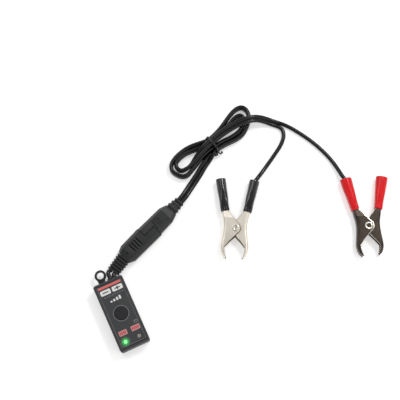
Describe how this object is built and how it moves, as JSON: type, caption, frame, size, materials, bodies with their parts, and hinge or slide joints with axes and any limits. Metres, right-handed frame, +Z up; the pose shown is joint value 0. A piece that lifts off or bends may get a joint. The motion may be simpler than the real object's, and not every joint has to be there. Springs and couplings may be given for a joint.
{
  "type": "battery charge tester with clip lead",
  "caption": "Key-fob 12 V battery tester with test lamps and button, joined by a moulded connector pair to a tied twin lead with a black and a red sprung battery clip.",
  "frame": {"origin": "middle of the bottom of the box round the rigid pieces, on the surface it lies on", "axes": "+Z up out of the surface; +X from the tester towards the red clip; +Y towards the clip handles and the tied hank"},
  "size_m": [0.2108, 0.1813, 0.0113],
  "materials": {
    "case": "satin",
    "label": "satin print",
    "button": "matte",
    "plug": "matte",
    "flex": "semi-gloss",
    "tie": "matte",
    "contact": "tinned",
    "lamp_dark": "clear tint",
    "board": "satin",
    "component": "satin",
    "lead_wire": "plain",
    "copper": "tinned",
    "black_clip": "bright nickel plate",
    "red_clip": "nickel plate",
    "steel": "plain",
    "black_sleeve": "gloss",
    "red_sleeve": "gloss",
    "lamp_lit": "lit lens"
  },
  "bodies": {
    "lead": {"black_eyelet": "steel", "black_fixed_half": "black_clip", "black_fixed_sleeve": "black_sleeve", "black_lead": "flex", "black_spring": "steel", "black_wire_end": "copper", "hank_tie": "tie", "lead_hank": "flex", "lead_plug_body": "plug", "lead_plug_pin": "contact", "lead_plug_socket": "contact", "red_eyelet": "steel", "red_fixed_half": "red_clip", "red_fixed_sleeve": "red_sleeve", "red_lead": "flex", "red_spring": "steel", "red_wire_end": "copper", "twin_far": "flex", "twin_near": "flex"},
    "tester": {"board_parts": "component", "case_back": "case", "case_front": "case", "case_screws": "lead_wire", "circuit_board": "board", "face_label": "label", "green_lamp": "lamp_lit", "key_loop": "case", "lamp_legs": "lead_wire", "pigtail_grommet": "plug", "pigtail_wires": "flex", "red_lamp": "lamp_dark", "tact_switch": "component", "tester_plug_body": "plug", "tester_plug_pin": "contact", "tester_plug_socket": "contact"},
    "button": {"switch_plunger": "component", "test_button": "button"},
    "black_jaw": {"black_moving_half": "black_clip", "black_moving_sleeve": "black_sleeve"},
    "red_jaw": {"red_moving_half": "red_clip", "red_moving_sleeve": "red_sleeve"}
  },
  "joints": [
    {"name": "connector_pull", "type": "slide", "parent": "lead", "child": "tester", "axis": [-0.6896, -0.7242, 0], "range_m": [0, 0.016]},
    {"name": "button_press", "type": "slide", "parent": "tester", "child": "button", "axis": [0, 0, 1], "range_m": [-0.0006, 0], "stiffness_N_per_m": 300, "springref_m": 0.0005},
    {"name": "black_jaw_hinge", "type": "hinge", "parent": "lead", "child": "black_jaw", "pos_m": [-0.00535, 0.02461, 0.004], "axis": [0, 0, 1], "range_deg": [-20, 31], "stiffness_Nm_per_rad": 0.2, "springref_deg": 51.57, "deforming": ["black_spring"]},
    {"name": "red_jaw_hinge", "type": "hinge", "parent": "lead", "child": "red_jaw", "pos_m": [0.08995, 0.02641, 0.004], "axis": [0, 0, 1], "range_deg": [-28, 20], "stiffness_Nm_per_rad": 0.2, "springref_deg": -51.57, "deforming": ["red_spring"]}
  ]
}
